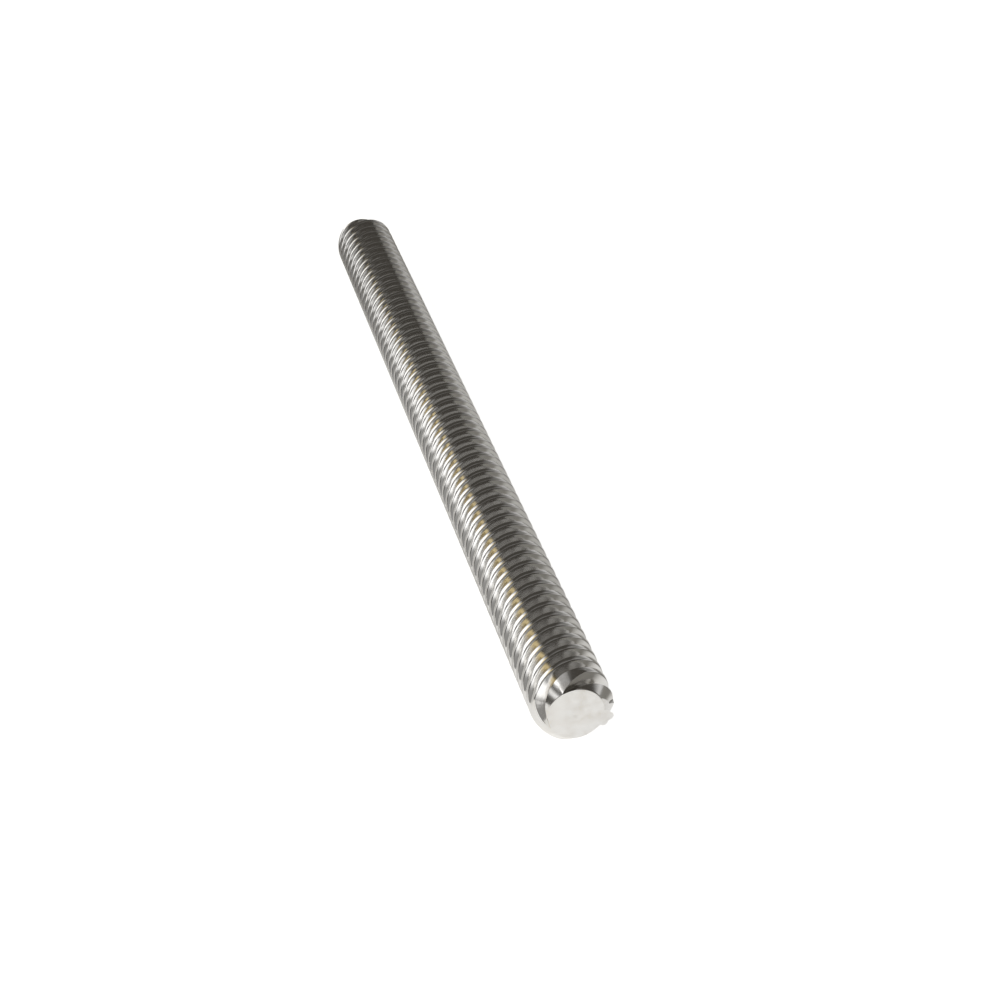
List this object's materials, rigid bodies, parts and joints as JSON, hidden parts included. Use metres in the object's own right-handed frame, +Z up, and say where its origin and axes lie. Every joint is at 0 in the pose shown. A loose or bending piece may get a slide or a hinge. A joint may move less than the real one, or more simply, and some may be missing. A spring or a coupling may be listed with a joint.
{
  "type": "trapezoidal lead screw",
  "caption": "Straight steel bar with a right-hand multi-start trapezoidal thread cut from end to end and both ends chamfered; it turns to drive a nut along its axis.",
  "frame": {"origin": "on the screw's axis, midway between its two end faces", "axes": "+Y along the screw's axis, +Z up as the screw lies on a flat surface"},
  "size_m": [0.008, 0.12, 0.008],
  "materials": {
    "bright_steel": "rolled bright thread, turned ends"
  },
  "bodies": {
    "root": {"lead_screw": "bright_steel"}
  },
  "joints": []
}
